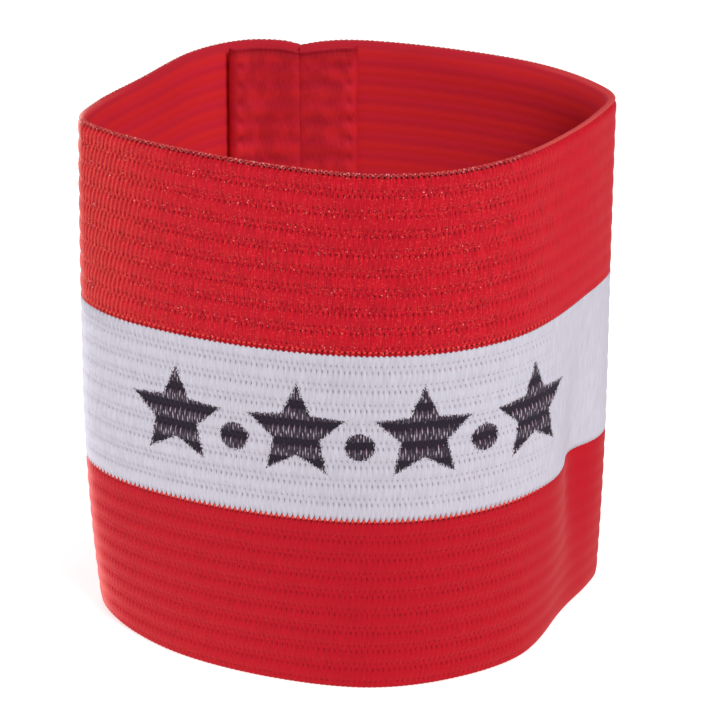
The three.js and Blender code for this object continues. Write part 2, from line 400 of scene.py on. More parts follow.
# %% Edges and colour changes
# Each row of an edge: how far it is from the edge, how deep it lies, and how it follows the loops.
RIM = [
    {"away": 0.00 * MM, "depth": 0.50 * MM, "loop": 0.00 * MM, "raise": 0.03 * MM},
    {"away": 0.05 * MM, "depth": 0.32 * MM, "loop": -0.05 * MM, "raise": 0.04 * MM},
    {"away": 0.22 * MM, "depth": 0.22 * MM, "loop": -0.10 * MM, "raise": 0.02 * MM},
    {"away": 0.38 * MM, "depth": 0.32 * MM, "loop": -0.12 * MM, "raise": 0.00 * MM},
    {"away": 0.58 * MM, "depth": 0.52 * MM, "loop": -0.16 * MM, "raise": 0.00 * MM},
    {"away": 0.84 * MM, "depth": 0.24 * MM, "loop": -0.14 * MM, "raise": 0.00 * MM},
    {"away": 1.14 * MM, "depth": 0.07 * MM, "loop": -0.07 * MM, "raise": 0.00 * MM},
]
FOOT = [
    {"away": 0.30 * MM, "depth": 0.16 * MM, "loop": -0.06 * MM, "raise": 0.00 * MM},
    {"away": 0.10 * MM, "depth": 0.28 * MM, "loop": -0.06 * MM, "raise": 0.00 * MM},
    {"away": 0.02 * MM, "depth": 0.80 * MM, "loop": 0.00 * MM, "raise": 0.00 * MM},
]
RIM_INSIDE = [
    {"away": 0.24 * MM, "depth": 0.98 * MM},
    {"away": 0.62 * MM, "depth": 1.50 * MM},
]
FOOT_INSIDE = [
    {"away": 0.12 * MM, "depth": 1.50 * MM},
]
EDGE_GAP = 0.02 * MM
UPPER_TEETH = 0.17 * MM
LOWER_TEETH = 0.30 * MM
LOWER_SHARPNESS = 1.4
TEETH_WORN = 0.85

# Where in its rib each colour change takes its relief from.
UPPER_SHARE = 0.28
LOWER_SHARE = 0.85

# How far the rows of the ribs keep from the edges and the colour changes, which have their own rows.
RIM_ROOM = 1.35 * MM
RIM_ROOM_INSIDE = 1 * MM
FOOT_ROOM = 0.5 * MM
ROOM_ABOVE_UPPER = 0.2 * MM
ROOM_BELOW_UPPER = 0.25 * MM
ROOM_ABOVE_LOWER = 0.45 * MM
ROOM_BELOW_LOWER = 0.32 * MM
CHANGE_ROOM_INSIDE = 0.6 * MM


def teeth(size, sharpness, rib):
    """The zigzag of a colour change, one tooth a stitch, and lower where the knit is worn."""
    wave = stitch_wave(0) ** sharpness
    return size * (2 * wave - 1) * (1 - TEETH_WORN * wear(rib))


upper_change = UPPER_CHANGE + teeth(UPPER_TEETH, 1, 0)
lower_change = LOWER_CHANGE + teeth(LOWER_TEETH, LOWER_SHARPNESS, 2 * RIBS_PER_STRIPE)
print("the teeth are", round(2000 * UPPER_TEETH, 2), "and", round(2000 * LOWER_TEETH, 2), "mm tall")


# %% Rows of a stripe's section
ALL_RIBS = range(3 * RIBS_PER_STRIPE + 1)


def blank_rows():
    """An empty list of rows for one stripe's section."""
    return {"base": [], "heights": [], "depths": [], "inside": []}


def add_row(rows, base, heights, depths, inside):
    """Adds one row of the section. inside is 1 on the inner face and 0 on the outer one."""
    rows["base"].append(base)
    rows["heights"].append(heights + 0 * column_stitch)
    rows["depths"].append(depths + 0 * column_stitch)
    rows["inside"].append(inside)


def add_outer_face(rows, top, bottom):
    """The ribs of the outer face, from the top down, between two heights."""
    for rib in ALL_RIBS:
        for level in RELIEF:
            height = BAND_HEIGHT - (rib + level["share"]) * RIB_PITCH
            if bottom < height < top:
                add_row(rows, height, height, outer_depth(rib, level["share"]), 0)


def add_inner_face(rows, top, bottom):
    """The inner face, from the bottom up, between two heights."""
    for rib in reversed(ALL_RIBS):
        for share in reversed(INNER_SHARES):
            height = BAND_HEIGHT - (rib + share) * RIB_PITCH
            if bottom < height < top:
                add_row(rows, height, height, inner_depth(share), 1)


def add_edge(rows, levels, edge, downwards):
    """The rows of an edge that shows, over the outer half of the cloth's thickness."""
    loops = (2 * stitch_wave(0) - 1) * (1 - WORN_LOSS * wear(0))
    for level in levels:
        height = edge - level["away"] if downwards else edge + level["away"]
        depth = (level["depth"] + level["loop"] * loops) * flattening()
        add_row(rows, height, height + level["raise"] * loops, depth, 0)


def add_change(rows, base, line, share, outwards_first):
    """The hidden face between two colours, as two rows: at the outer face and at the inner one."""
    outer = (base, line, outer_depth((BAND_HEIGHT - base) / RIB_PITCH, share), 0)
    inner = (base, line, inner_depth(share), 1)
    for row in (outer, inner) if outwards_first else (inner, outer):
        add_row(rows, *row)


# %% [markdown]
# ## Building a stripe
# A flat grid is the simplest start: one column of points for each quarter stitch and one row for
# each line of the section. The grid is then bent: every point moves to its place in the cloth. The
# first and the last row land on each other and are merged, which closes the tube of the section,
# and the two cut ends are filled.

# %% The mesh of a stripe
CUT_COLUMNS = 7
CUT_MIDDLE = 0.8 * WALL
CUT_LEAST = 0.05
CREASE_ANGLE = math.radians(40)
CREASE_FROM, CREASE_TO = 0.3, 0.99
UV_RIBS = 27.25

# The top edge sinks towards the seam.
RIM_DIP = 0.85 * MM
RIM_DIP_LEFT = 1.2 * MM
RIM_DIP_RIGHT = 2.6 * MM
RIM_DIP_REACH = 6 * MM

# Creases and finer ripples of the turned-in ends: how many over the height, and how far they lift.
CREASES = 11
CREASE_LIFT = 0.35 * MM
CREASE_WANDER = 0.5
CREASE_SLOPE = 0.35
RIPPLES = 23
RIPPLE_LIFT = 0.15 * MM
RIPPLE_SLOPE = 1.3
LOOSE_END = 0.15


def crumple(heights):
    """How far the turned-in ends stand off the wall: soft creases that run across them."""
    free = free_right + free_left
    turned = (bend_right + bend_left) / math.pi
    up = heights / BAND_HEIGHT
    creases = CREASES * up + CREASE_WANDER * np.sin(9 * up) + CREASE_SLOPE * free_left
    ripples = RIPPLES * up + RIPPLE_SLOPE * free_right
    creases, ripples = (0.5 + 0.5 * np.sin(2 * math.pi * waves) for waves in (creases, ripples))
    loose = np.sqrt(free * (1 + LOOSE_END - free))
    return turned * loose * (CREASE_LIFT * creases + RIPPLE_LIFT * ripples)


def rim_dip(heights):
    """How far the top edge sinks towards the seam, steeply from the left and slowly from the right."""
    right = np.where(bend_left > 0, 0, np.exp(-from_right / RIM_DIP_RIGHT))
    left = np.where(bend_right > 0, 0, np.exp(-from_left / RIM_DIP_LEFT))
    near_top = np.clip((heights - BAND_HEIGHT) / RIM_DIP_REACH + 1, 0, 1)
    return RIM_DIP * np.maximum(right, left) * near_top


def thin_cut_ends(depths):
    """Draws the faces together over the last columns, where the sewing presses a cut end flat."""
    columns = np.arange(depths.shape[1])
    from_end = np.minimum(columns, columns[::-1]) / CUT_COLUMNS
    open_share = np.sqrt(np.clip(1 - np.clip(1 - from_end, 0, 1) ** 2, CUT_LEAST, 1))
    return CUT_MIDDLE + (depths - CUT_MIDDLE) * open_share


def crease_folds(cloth):
    """Keeps the edges crisp where one pressed fold meets the other."""
    turned = cloth.verts.layers.float["turned"]
    for edge in cloth.edges:
        in_fold = all(CREASE_FROM < vertex[turned] < CREASE_TO for vertex in edge.verts)
        edge.smooth = not (in_fold and edge.calc_face_angle(0) > CREASE_ANGLE)


def stripe_mesh(name, rows):
    """The closed mesh of one stripe, with its UV map and the marks that its material reads."""
    depths = thin_cut_ends(np.array(rows["depths"]))
    heights = np.array(rows["heights"])
    base = np.array(rows["base"])
    lifts = np.array([crumple(row) for row in heights])
    sunk = heights - np.array([rim_dip(row) for row in heights])
    places, facing_left = cloth_points({"base": base, "heights": sunk, "depths": depths, "lifts": lifts})
    row_count, column_count = depths.shape

    grid = bmesh.new()
    bmesh.ops.create_grid(grid, x_segments=column_count - 1, y_segments=row_count, size=1)
    mesh = bpy.data.meshes.new(name)
    grid.to_mesh(mesh)
    grid.free()

    flat = np.empty(len(mesh.vertices) * 3)
    mesh.vertices.foreach_get("co", flat)
    flat = flat.reshape(-1, 3)
    column = np.rint((flat[:, 0] + 1) / 2 * (column_count - 1)).astype(int)
    row = np.rint((1 - flat[:, 1]) / 2 * row_count).astype(int)
    looped = row % row_count
    mesh.vertices.foreach_set("co", places[looped, column].ravel())

    turned = (bend_right + bend_left) / math.pi
    crisp = np.array([crispness((BAND_HEIGHT - level) / RIB_PITCH) for level in base])
    marks = {
        "inside": np.array(rows["inside"], float)[looped],
        "turned": turned[column],
        "crisp": crisp[looped, column],
        "facing_left": facing_left[looped, column],
    }
    for mark, values in marks.items():
        mesh.attributes.new(mark, "FLOAT", "POINT").data.foreach_set("value", values)
    corner = np.empty(len(mesh.loops), int)
    mesh.loops.foreach_get("vertex_index", corner)
    stitch = column_stitch[column[corner]] / stitch_count
    rib = (BAND_HEIGHT - heights[looped[corner], column[corner]]) / RIB_PITCH / UV_RIBS
    knit = mesh.uv_layers.new(name="knit")
    knit.uv.foreach_set("vector", np.stack([stitch, rib], axis=1).ravel())

    cloth = bmesh.new()
    cloth.from_mesh(mesh)
    bmesh.ops.remove_doubles(cloth, verts=cloth.verts, dist=1e-7)
    rims = [edge for edge in cloth.edges if edge.is_boundary]
    filled = bmesh.ops.holes_fill(cloth, edges=rims, sides=0)["faces"]
    bmesh.ops.triangulate(cloth, faces=filled, quad_method="BEAUTY", ngon_method="BEAUTY")
    bmesh.ops.recalc_face_normals(cloth, faces=cloth.faces)
    for face in cloth.faces:
        face.smooth = True
    crease_folds(cloth)
    cloth.to_mesh(mesh)
    cloth.free()
    return mesh


def add_stripe(name, ring, rows):
    """Adds a stripe to the scene in place of its plain ring."""
    piece = bpy.data.objects.new(name, stripe_mesh(name, rows))
    bpy.context.scene.collection.objects.link(piece)
    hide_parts(ring)
    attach(piece, "root")
    triangles = sum(len(face.vertices) - 2 for face in piece.data.polygons)
    print(name, "has", triangles, "triangles")
    return piece


# %% The upper red stripe
upper_rows = blank_rows()
add_edge(upper_rows, RIM, BAND_HEIGHT, True)
add_outer_face(upper_rows, BAND_HEIGHT - RIM_ROOM, UPPER_CHANGE + ROOM_ABOVE_UPPER)
add_change(upper_rows, UPPER_CHANGE, upper_change + EDGE_GAP / 2, UPPER_SHARE, True)
add_inner_face(upper_rows, BAND_HEIGHT - RIM_ROOM_INSIDE, UPPER_CHANGE + CHANGE_ROOM_INSIDE)
for level in reversed(RIM_INSIDE):
    height = BAND_HEIGHT - level["away"]
    add_row(upper_rows, height, height, level["depth"], 1)
upper_cloth = add_stripe("upper_red_knit", "upper_red_stripe", upper_rows)

# %% The white stripe
white_rows = blank_rows()
add_change(white_rows, UPPER_CHANGE, upper_change - EDGE_GAP / 2, UPPER_SHARE, False)
add_outer_face(white_rows, UPPER_CHANGE - ROOM_BELOW_UPPER, LOWER_CHANGE + ROOM_ABOVE_LOWER)
add_change(white_rows, LOWER_CHANGE, lower_change + EDGE_GAP / 2, LOWER_SHARE, True)
add_inner_face(white_rows, UPPER_CHANGE - CHANGE_ROOM_INSIDE, LOWER_CHANGE + CHANGE_ROOM_INSIDE)
white_cloth = add_stripe("middle_white_knit", "white_stripe", white_rows)

# %% The lower red stripe
lower_rows = blank_rows()
add_change(lower_rows, LOWER_CHANGE, lower_change - EDGE_GAP / 2, LOWER_SHARE, False)
add_outer_face(lower_rows, LOWER_CHANGE - ROOM_BELOW_LOWER, FOOT_ROOM)
add_edge(lower_rows, FOOT, 0, False)
for level in FOOT_INSIDE:
    add_row(lower_rows, level["away"], level["away"], level["depth"], 1)
add_inner_face(lower_rows, LOWER_CHANGE - CHANGE_ROOM_INSIDE, FOOT_ROOM)
lower_cloth = add_stripe("lower_red_knit", "lower_red_stripe", lower_rows)


# %% [markdown]
# ## A kit for the materials
# A material here is a small calculation on the stitches. The UV map counts them: one unit across is
# the whole strip, one unit up is a little more than the 27 ribs, and a multiplication turns both
# into stitches and ribs. The mesh also marks where its inner face is, how far the cloth has turned
# over, how crisp the stitches are and how squarely they face left.

UNEVENNESS = 0.2
TURNED_CALM = 0.95

# The node that mixes two values has its inputs for colours at these places.
MIX_INPUTS = (0, 6, 7)
MIX_OUTPUT = 2


def linear(red, green, blue):
    """A colour as picked from a screen, from 0 to 255, in the linear values that shaders use."""
    shares = [part / 255 for part in (red, green, blue)]
    return tuple(s / 12.92 if s <= 0.04045 else ((s + 0.055) / 1.055) ** 2.4 for s in shares) + (1,)


class Paint:
    """A material, and the means to add steps to its calculation."""

    def __init__(self, name):
        self.material = bpy.data.materials.new(name)
        self.material.use_nodes = True
        self.tree = self.material.node_tree
        self.shader = self.tree.nodes["Principled BSDF"]

    def feed(self, node, inputs):
        """Gives each of a node's inputs the output of another step, or a plain value."""
        for name, value in inputs.items():
            if isinstance(value, bpy.types.NodeSocket):
                self.tree.links.new(value, node.inputs[name])
            else:
                node.inputs[name].default_value = value

    def step(self, kind, inputs, **settings):
        """One more node, with its settings and its inputs."""
        node = self.tree.nodes.new("ShaderNode" + kind)
        for name, value in settings.items():
            setattr(node, name, value)
        self.feed(node, inputs)
        return node

    def fade(self, value, start, end, most=1.0, least=0.0):
        """Smoothly from the most at the start to the least at the end."""
        inputs = {"Value": value, "From Min": start, "From Max": end, "To Min": most, "To Max": least}
        return self.step("MapRange", inputs, interpolation_type="SMOOTHSTEP").outputs["Result"]


class KnitMaterial(Paint):
    """A material for the knit, with the stitch and the rib that every place lies on."""

    def __init__(self, name):
        super().__init__(name)
        knit = self.step("UVMap", {}, uv_map="knit")
        split = self.step("SeparateXYZ", {"Vector": knit.outputs["UV"]})
        self.ribs = self.maths("MULTIPLY", split.outputs["Y"], UV_RIBS)
        straight = self.maths("MULTIPLY", split.outputs["X"], stitch_count)
        wander = self.noise(straight, self.maths("MULTIPLY", self.ribs, 2.3))
        self.stitches = self.line(wander, UNEVENNESS, straight)

        self.turned = self.mark("turned")
        calm = self.maths("MULTIPLY", self.turned, TURNED_CALM)
        self.inside = self.mark("inside")
        self.plain = self.maths("MAXIMUM", self.inside, calm)
        self.textured = self.maths("SUBTRACT", 1.0, self.plain)

        # How clear the stitches are: bold at the upper left, and neither grainy nor clear where worn.
        self.crisp = self.maths("MULTIPLY", self.mark("crisp"), self.textured)
        self.bold = self.fade(self.crisp, 1.6, 1.02)
        self.grainy = self.fade(self.crisp, 0.95, 0.65)
        self.clear = self.fade(self.crisp, 0.5, 0.15)
        self.at_side = self.fade(self.apart(self.mark("crisp"), 1.0), 0.75, 0.2)
        # Where the cloth faces left: its fuzz, with a painted sheen.
        self.fuzzy = self.both(self.fade(self.mark("facing_left"), 1.0, 0.86), self.textured)
        self.in_channel = self.fade(self.maths("ABSOLUTE", self.off(self.ribs, 0.0)), 0.12, 0.34)
        self.speck = self.random(6.3, 21)

    def mark(self, name):
        """A number that the mesh carries at each point."""
        return self.step("Attribute", {}, attribute_name=name).outputs["Fac"]

    def maths(self, operation, *values):
        """One step of arithmetic."""
        return self.step("Math", dict(enumerate(values)), operation=operation).outputs[0]

    def line(self, value, slope, start):
        """A straight line: a value times a slope, and a start on top."""
        return self.maths("MULTIPLY_ADD", value, slope, start)

    def apart(self, first, second):
        """The distance between two numbers."""
        return self.maths("ABSOLUTE", self.maths("SUBTRACT", first, second))

    def both(self, *shares):
        """The product of several shares: all of them have to hold."""
        product = shares[0]
        for share in shares[1:]:
            product = self.maths("MULTIPLY", product, share)
        return product

    def either(self, *shares):
        """The largest of several shares."""
        largest = shares[0]
        for share in shares[1:]:
            largest = self.maths("MAXIMUM", largest, share)
        return largest

    def mix(self, share, first, second):
        """A colour between two others."""
        inputs = dict(zip(MIX_INPUTS, (share, first, second)))
        return self.step("Mix", inputs, data_type="RGBA").outputs[MIX_OUTPUT]

    def paired(self, across, up):
        """A flat vector of two numbers."""
        return self.step("CombineXYZ", {"X": across, "Y": up}).outputs["Vector"]

    def noise(self, across, up, detail=1.0):
        """Soft noise over two numbers, between nought and one."""
        inputs = {"Vector": self.paired(across, up), "Scale": 1, "Detail": detail}
        return self.step("TexNoise", inputs, noise_dimensions="2D").outputs[0]

    def patches(self, across, up, detail=1.0):
        """Soft noise with so many patches to a stitch and to a rib."""
        stitches = self.maths("MULTIPLY", self.stitches, across)
        return self.noise(stitches, self.maths("MULTIPLY", self.ribs, up), detail)

    def random(self, across, up, shift=0.0):
        """A random number for each small cell, with so many cells to a stitch and to a rib."""
        column = self.maths("FLOOR", self.line(self.stitches, across, shift))
        row = self.maths("FLOOR", self.maths("MULTIPLY", self.ribs, up))
        inputs = {"Vector": self.paired(column, row)}
        return self.step("TexWhiteNoise", inputs, noise_dimensions="2D").outputs["Value"]

    def off(self, position, place):
        """The distance from the nearest repeat of a place, from minus a half to a half."""
        return self.maths("WRAP", self.maths("SUBTRACT", position, place), 0.5, -0.5)

    def reach(self, across, up):
        """The length of a flat vector."""
        vector = self.paired(across, up)
        return self.step("VectorMath", {0: vector}, operation="LENGTH").outputs["Value"]

    def away(self, at_stitch, at_rib, half_width, half_height):
        """How far a place is from the middle of a spot that every stitch of every rib has."""
        across = self.maths("DIVIDE", self.off(self.stitches, at_stitch), half_width)
        up = self.maths("DIVIDE", self.off(self.ribs, at_rib), half_height)
        return self.reach(across, up)

    def spot(self, at_stitch, at_rib, half_width, half_height, softness=0.5):
        """A soft spot in every stitch of every rib."""
        away = self.away(at_stitch, at_rib, half_width, half_height)
        return self.fade(away, 1 - softness, 1 + softness)

    def near_rib(self, rib, reach):
        """One near a rib's channel, and nought further off."""
        return self.fade(self.apart(self.ribs, rib), reach, reach + 0.05)

    def bars(self):
        """The bars of yarn across a rib, which lean over by half a stitch from head to foot."""
        lean = self.line(self.maths("FRACT", self.ribs), 0.65, 0.95)
        return self.fade(self.maths("ABSOLUTE", self.off(self.stitches, lean)), 0.0, 0.3)

    def holes(self):
        """The two rows of little holes along each channel, stronger in some places, as a share for the
        painted shade in them.
        """
        patchy = self.line(self.patches(0.4, 1.1), 1.5, -0.1)
        short = self.spot(0.0, 0.85, 0.12, 0.055)
        long = self.spot(0.55, 0.17, 0.12, 0.085)
        strength = self.maths("MINIMUM", self.maths("POWER", self.crisp, 0.5), 1.0)
        strength = self.both(strength, self.clear, self.line(self.bold, -0.6, 1.0))
        return self.both(self.either(short, long), self.maths("MINIMUM", patchy, 1.0), strength)

    def bump(self, streaks, swell, distance):
        """Gives the shader a relief too fine for the mesh: fibres outside, and low ribs inside."""
        fibres = self.both(self.maths("ADD", streaks, self.speck), self.crisp, 0.5)
        wave = self.maths("COSINE", self.maths("MULTIPLY", self.ribs, 4 * math.pi))
        height = self.line(self.both(wave, self.inside), swell, fibres)
        bump = self.step("Bump", {"Strength": 1, "Distance": distance, "Height": height})
        self.feed(self.shader, {"Normal": bump.outputs["Normal"]})

    def finish(self, colour, roughness, specular, sheen, sheen_tint):
        """Sets the colour and how the yarn shines."""
        shine = {
            "Base Color": colour,
            "Roughness": roughness,
            "Specular IOR Level": specular,
            "Sheen Weight": self.both(self.textured, self.line(self.clear, 0.55, 0.45), sheen),
            "Sheen Roughness": 0.35,
            "Sheen Tint": sheen_tint,
        }
        self.feed(self.shader, shine)
        return self.material


print("kit ready")

# %% [markdown]
# ## The red knit
# The yarn is a matt textured polyester. Up close it is not one red: faint streaks run down each
# stitch, its little holes are darkened by painted shade, painted orange-red highlights glint on bits
# of yarn along the channels, and a few fibres shine nearly white. At the upper left the bars of yarn
# stand out with a painted orange highlight, and where the cloth turns away to the left it is painted
# pale pink, partly its fuzz and partly a painted sheen. Where the knit is worn, soft blotches take
# the place of the streaks and the holes. The top edge is a chain of loops with painted pale
# highlights and painted dark shade in their middles, and at the sides its rounded top carries a
# painted highlight. The inner face is smoother, with a faint change of hue from rib to rib, painted
# shade under its top edge, and painted shade that darkens the turned-in ends. A picture of cloth
# could be laid over the mesh instead, but it wouldn't follow each stitch as arithmetic does.

# %% The red knit
DEEP_RED = linear(174, 12, 30)
RED = linear(198, 18, 38)
ORANGE_RED = linear(230, 78, 62)
HOLE_SHADE_RED = linear(100, 6, 16)
GAP_SHADE_BLACK = linear(22, 10, 18)
PALE_PINK = linear(246, 176, 182)
RIM_HIGHLIGHT_PINK = linear(206, 82, 78)
RIM_RED = linear(150, 20, 32)
RIM_TOP_HIGHLIGHT = linear(222, 84, 80)
BAR_HIGHLIGHT_ORANGE = linear(240, 96, 78)
FUZZ_SHEEN_PINK = linear(246, 150, 146)
INSIDE_RED = linear(218, 40, 46)
INSIDE_ROSE = linear(210, 37, 56)
INSIDE_SHADE = linear(152, 22, 38)


def red_yarn(knit):
    """The colour of the open knit, away from its edges."""
    streaks = knit.fade(knit.patches(4.2, 0.8, 2.0), 0.62, 0.38)
    blotches = knit.line(knit.fade(knit.patches(1.1, 1.8, 2.0), 0.75, 0.25), 0.5, 0.25)
    streaky = knit.line(knit.clear, 0.7, 0.3)
    colour = knit.mix(knit.mix(streaky, blotches, streaks), RED, DEEP_RED)
    lower = knit.fade(knit.ribs, 2 * RIBS_PER_STRIPE, 2 * RIBS_PER_STRIPE - 1, 0.7)
    colour = knit.mix(lower, colour, DEEP_RED)
    # Painted highlights on the bars of yarn at the upper left.
    colour = knit.mix(knit.both(knit.bars(), knit.bold, 0.42), colour, BAR_HIGHLIGHT_ORANGE)
    # Painted shade: the holes and the dark specks in the channels are darkened where shade falls in the
    # knit.
    dark = knit.both(knit.fade(knit.speck, 0.08, 0.10), knit.in_channel, knit.grainy, 0.7)
    colour = knit.mix(knit.either(knit.holes(), dark), colour, HOLE_SHADE_RED)
    # Painted highlights: orange-red specks that glint along the channels.
    likely = knit.line(knit.in_channel, -0.05, 0.97)
    bright = knit.both(knit.maths("GREATER_THAN", knit.speck, likely), knit.grainy)
    colour = knit.mix(knit.both(bright, 0.6), colour, ORANGE_RED)
    fleck = knit.both(knit.maths("GREATER_THAN", knit.speck, 0.996), knit.in_channel, knit.grainy)
    return knit.mix(knit.both(fleck, 0.65), colour, PALE_PINK)


def red_changes(knit, colour):
    """Orange-red bits of yarn where the red meets the white, and dots of painted shade in the holes there.
    """
    upper = RIBS_PER_STRIPE + 0.1
    lower = 2 * RIBS_PER_STRIPE + 0.1
    upper_bits = knit.both(knit.spot(0.0, 0.08, 0.2, 0.045), knit.near_rib(upper, 0.1))
    lower_bits = knit.both(knit.spot(0.0, 0.03, 0.3, 0.08), knit.near_rib(lower - 0.1, 0.15))
    bits = knit.both(knit.either(upper_bits, lower_bits), knit.clear, 0.85)
    colour = knit.mix(bits, colour, ORANGE_RED)
    # Painted shade: near-black dots in the holes along the colour change.
    upper_dots = knit.both(knit.spot(0.5, 0.1, 0.14, 0.04), knit.near_rib(upper, 0.1))
    lower_dots = knit.both(knit.spot(0.5, 0.14, 0.16, 0.04), knit.near_rib(lower, 0.14), 0.9)
    small_dots = knit.both(knit.spot(0.0, 0.18, 0.12, 0.035), knit.near_rib(lower, 0.16), 0.6)
    dots = knit.either(upper_dots, lower_dots, small_dots)
    return knit.mix(knit.both(dots, knit.textured, knit.clear), colour, GAP_SHADE_BLACK)


def red_rim(knit, colour):
    """The chain of loops along the top edge, with painted highlights on them and painted shade in their
    middles and in the gaps under them.
    """
    rim = knit.both(knit.fade(knit.ribs, 0.16, 0.2), knit.textured)
    colour = knit.mix(knit.both(rim, 0.7), colour, RIM_RED)
    # Painted highlights: the loops are painted pale, patchy in strength, and at the sides a smooth pale band
    # is painted over the rounded top.
    away = knit.away(0.0, 0.075, 0.46, 0.085)
    worn = knit.fade(knit.patches(1.3, 5), 0.4, 0.7, 0.75)
    ring = knit.fade(knit.apart(away, 0.8), 0.08, 0.34)
    clear = knit.fade(knit.crisp, 0.9, 0.4)
    loops = knit.both(ring, knit.maths("ADD", worn, 0.15), clear)
    smooth = knit.both(knit.line(clear, -0.7, 0.7), knit.fade(knit.ribs, 0.04, 0.22))
    colour = knit.mix(knit.both(knit.either(loops, smooth), rim), colour, RIM_HIGHLIGHT_PINK)
    bright = knit.both(knit.maths("GREATER_THAN", knit.speck, 0.93), rim, clear)
    colour = knit.mix(knit.both(bright, 0.6), colour, PALE_PINK)
    # Painted shade in the middles of the loops and in the gaps under them.
    middles = knit.both(knit.fade(away, 0.25, 0.5), rim, 0.75)
    near_top = knit.fade(knit.ribs, 0.3, 0.34)
    under_loops = knit.both(knit.spot(0.5, 0.2, 0.15, 0.05), near_top, knit.textured)
    faint = knit.line(knit.bold, -0.65, 1.0)
    gaps = knit.both(knit.either(middles, under_loops), clear, faint)
    return knit.mix(gaps, colour, GAP_SHADE_BLACK)


def red_inside(knit):
    """The colour of the inner face and of the turned-in ends, where no stitches show, with painted shade
    under the top edge and on the turned-in ends, and a painted highlight on the top edge at the sides.
    """
    wave = knit.maths("COSINE", knit.maths("MULTIPLY", knit.ribs, 2 * math.pi))
    plain = knit.mix(knit.line(wave, 0.5, 0.5), INSIDE_RED, INSIDE_ROSE)
    # Painted shade under the top edge of the inner face.
    plain = knit.mix(knit.fade(knit.ribs, 0.2, 0.6, 0.6), plain, INSIDE_SHADE)
    # The turned-in ends are painted darker, a painted shade, with a soft mottling.
    mottled = knit.fade(knit.patches(0.3, 0.8, 2.0), 0.62, 0.38, 0.3)
    plain = knit.mix(knit.both(knit.maths("ADD", mottled, 0.12), knit.turned), plain, INSIDE_SHADE)
    # Painted highlight: the rounded top edge is painted paler at the sides.
    upright = knit.maths("SUBTRACT", 1.0, knit.turned)
    rim = knit.both(knit.fade(knit.ribs, 0.08, 0.2, 0.38), knit.at_side, upright)
    return knit.mix(rim, plain, RIM_TOP_HIGHLIGHT)


def paint_red():
    """The red knit of the upper and the lower stripe."""
    knit = KnitMaterial("red_knit")
    colour = red_rim(knit, red_changes(knit, red_yarn(knit)))
    colour = knit.mix(knit.plain, colour, red_inside(knit))
    # Partly fuzz and partly painted sheen: the cloth is painted pale pink where it faces left, most near the
    # top.
    fuzz_sheen = knit.both(knit.fuzzy, knit.maths("ADD", knit.fade(knit.ribs, 0.3, 3.0, 0.6), 0.4))
    colour = knit.mix(fuzz_sheen, colour, FUZZ_SHEEN_PINK)
    knit.bump(knit.patches(4.2, 0.8, 2.0), 0.2, 0.06 * MM)
    return knit.finish(colour, 0.8, 0.12, 0.5, linear(255, 165, 155))


red_knit = paint_red()
for cloth in (upper_cloth, lower_cloth):
    cloth.data.materials.append(red_knit)
print("the red knit has", len(red_knit.node_tree.nodes), "nodes")

# %% [markdown]
# ## The white knit and its black motif
# The white stripe is the same knit in a cool white, with faint holes darkened by painted shade.
# Black stars and dots are printed round its front. Ink lies solid where the stitches are drawn in at
# a channel, and on the ribs the white yarn shows through it in short upright slits. The print could
# be its own thin mesh, but ink has no thickness, so it is drawn by arithmetic on the stitches.

# %% The white knit
WHITE = linear(196, 192, 203)
SHADED_WHITE = linear(187, 183, 195)
HOLE_SHADE_GREY = linear(150, 130, 146)
INK = linear(42, 35, 46)
WORN_INK = linear(96, 84, 98)
SLIT = linear(178, 162, 174)
SLIT_PINK = linear(190, 122, 136)

MOTIF_FROM_SEAM = 106.1 * MM
MOTIF_MIDDLE = wall_starts + wall_stitches * (MOTIF_FROM_SEAM - FOLD_START) / wall_length
MOTIF_HEIGHT = 41.1 * MM
MOTIF_PITCH = 18.3 * MM
STARS = 4
STAR_RADIUS = 7.4 * MM
STAR_NOTCH = 0.47
STAR_DROP = 0.7 * MM
DOT_RADIUS = 2.1 * MM
DOT_DROP = 2.4 * MM

# The edge of the ink wanders by this much and is this wide.
RAGGEDNESS = 1 * MM
INK_EDGE = (-0.03 * MM, 0.07 * MM)

# The slits between the bars: where in the stitch and in the rib they are, and half their height.
SLITS = [
    {"stitch": 0.55, "rib": 0.36, "half_height": 0.24},
    {"stitch": 0.02, "rib": 0.62, "half_height": 0.22},
]
SLIT_HALF_WIDTH = 0.11


def outside_star(knit, across, up):
    """How far outside a five-pointed star a place is, in metres: below nought inside it."""
    half_point = math.radians(36)
    notch = STAR_NOTCH * STAR_RADIUS
    along, beside = notch * math.sin(half_point), STAR_RADIUS - notch * math.cos(half_point)
    length = math.hypot(along, beside)
    angle = knit.maths("WRAP", knit.maths("ARCTAN2", across, up), half_point, -half_point)
    out = knit.maths("MULTIPLY", knit.maths("COSINE", angle), along / length)
    sine = knit.maths("ABSOLUTE", knit.maths("SINE", angle))
    aside = knit.maths("MULTIPLY", sine, beside / length)
    edge = STAR_RADIUS * along / length
    towards = knit.maths("MULTIPLY", knit.reach(across, up), knit.maths("ADD", out, aside))
    return knit.maths("SUBTRACT", towards, edge)


def outside_motif(knit):
    """How far outside the row of stars and dots a place is, in metres."""
    along = knit.maths("MULTIPLY", knit.maths("SUBTRACT", knit.stitches, MOTIF_MIDDLE), STITCH_PITCH)
    up = knit.line(knit.ribs, -RIB_PITCH, BAND_HEIGHT - MOTIF_HEIGHT)
    half = MOTIF_PITCH / 2
    from_middle = knit.maths("ABSOLUTE", along)
    star_along = knit.maths("WRAP", knit.maths("ADD", along, half), half, -half)
    star = outside_star(knit, star_along, knit.maths("ADD", up, STAR_DROP))
    star = knit.maths("MAXIMUM", star, knit.maths("SUBTRACT", from_middle, STARS * half))
    dot_along = knit.maths("WRAP", along, half, -half)
    dot = knit.maths("SUBTRACT", knit.reach(dot_along, knit.maths("ADD", up, DOT_DROP)), DOT_RADIUS)
    dot = knit.maths("MAXIMUM", dot, knit.maths("SUBTRACT", from_middle, (STARS - 1) * half))
    return knit.maths("MINIMUM", star, dot)


